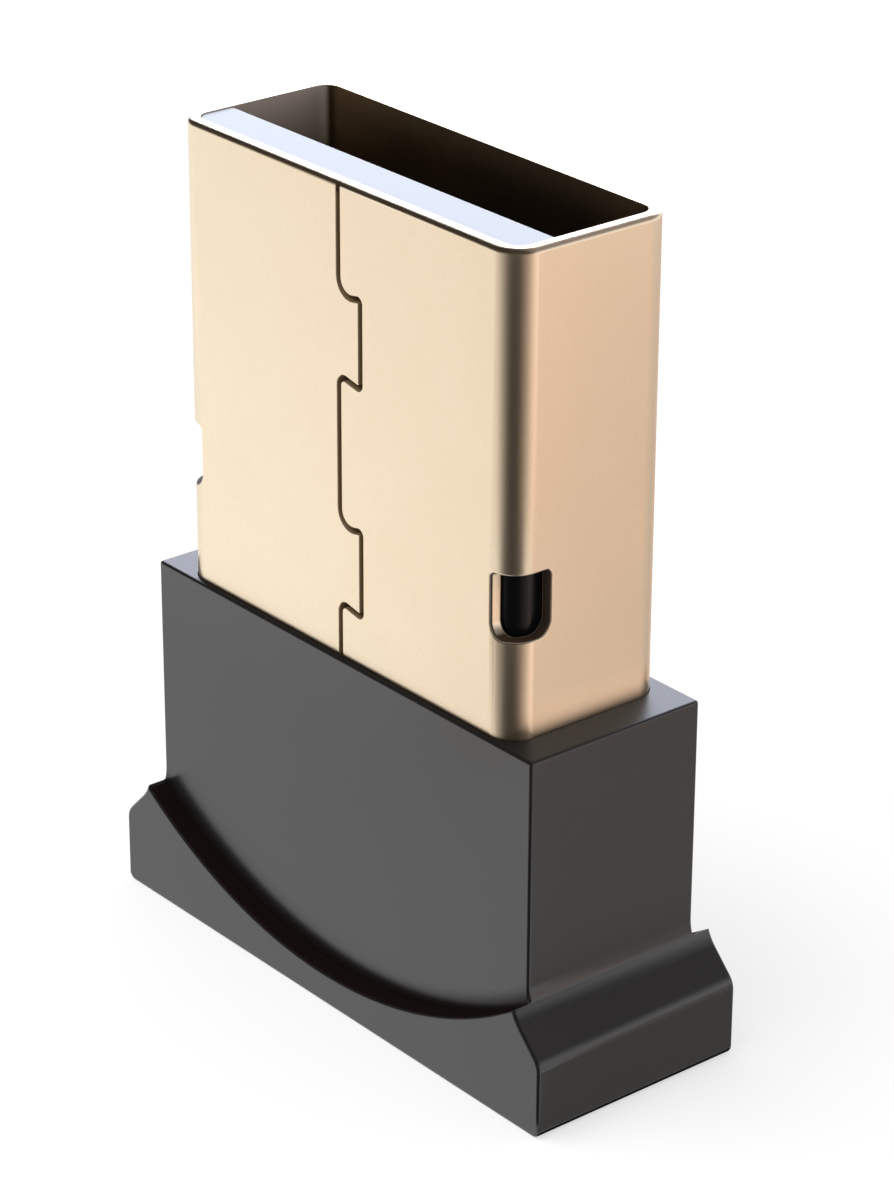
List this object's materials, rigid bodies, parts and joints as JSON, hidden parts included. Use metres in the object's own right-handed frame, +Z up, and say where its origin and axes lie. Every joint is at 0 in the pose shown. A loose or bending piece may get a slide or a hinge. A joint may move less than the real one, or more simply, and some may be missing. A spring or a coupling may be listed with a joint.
{
  "type": "usb bluetooth adapter",
  "caption": "Nano wireless adapter: a folded gold-plated plug shell standing in a small black moulded housing with a flared, arched skirt.",
  "frame": {"origin": "middle of the housing's flat base, on the surface the adapter stands on", "axes": "+Z up, out of the plug's mouth; +X along the wide faces; the wide face with the folded seam looks to -Y"},
  "size_m": [0.0158, 0.006, 0.0204],
  "materials": {
    "gold_plate": "satin champagne-gold plating with a fine grain",
    "contact_gold": "bright gold-plated spring strip",
    "white_plastic": "smooth cool-white moulding",
    "black_plastic": "satin black moulding",
    "inner_black_plastic": "glossy black moulding",
    "board_laminate": "green solder mask",
    "black_epoxy": "matte moulded epoxy",
    "plated_can": "plated metal lid",
    "white_ceramic": "pale fired ceramic",
    "capacitor_ceramic": "brown fired ceramic with tinned ends",
    "resistor_film": "dark glazed body with tinned ends"
  },
  "bodies": {
    "root": {"plug_shell": "gold_plate", "contact_tongue": "white_plastic", "contact_vbus": "contact_gold", "contact_data_minus": "contact_gold", "contact_data_plus": "contact_gold", "contact_ground": "contact_gold", "rear_retainer": "inner_black_plastic", "housing": "black_plastic", "circuit_board": "board_laminate", "radio_chip": "black_epoxy", "flash_memory": "black_epoxy", "voltage_regulator": "black_epoxy", "surge_diode": "black_epoxy", "crystal": "plated_can", "chip_antenna": "white_ceramic", "matching_inductor": "white_ceramic", "ferrite_bead": "resistor_film", "resistor_data_minus": "resistor_film", "resistor_data_plus": "resistor_film", "capacitor_matching": "capacitor_ceramic", "capacitor_supply": "capacitor_ceramic", "capacitor_core": "capacitor_ceramic", "capacitor_crystal_low": "capacitor_ceramic", "capacitor_crystal_high": "capacitor_ceramic"}
  },
  "joints": []
}
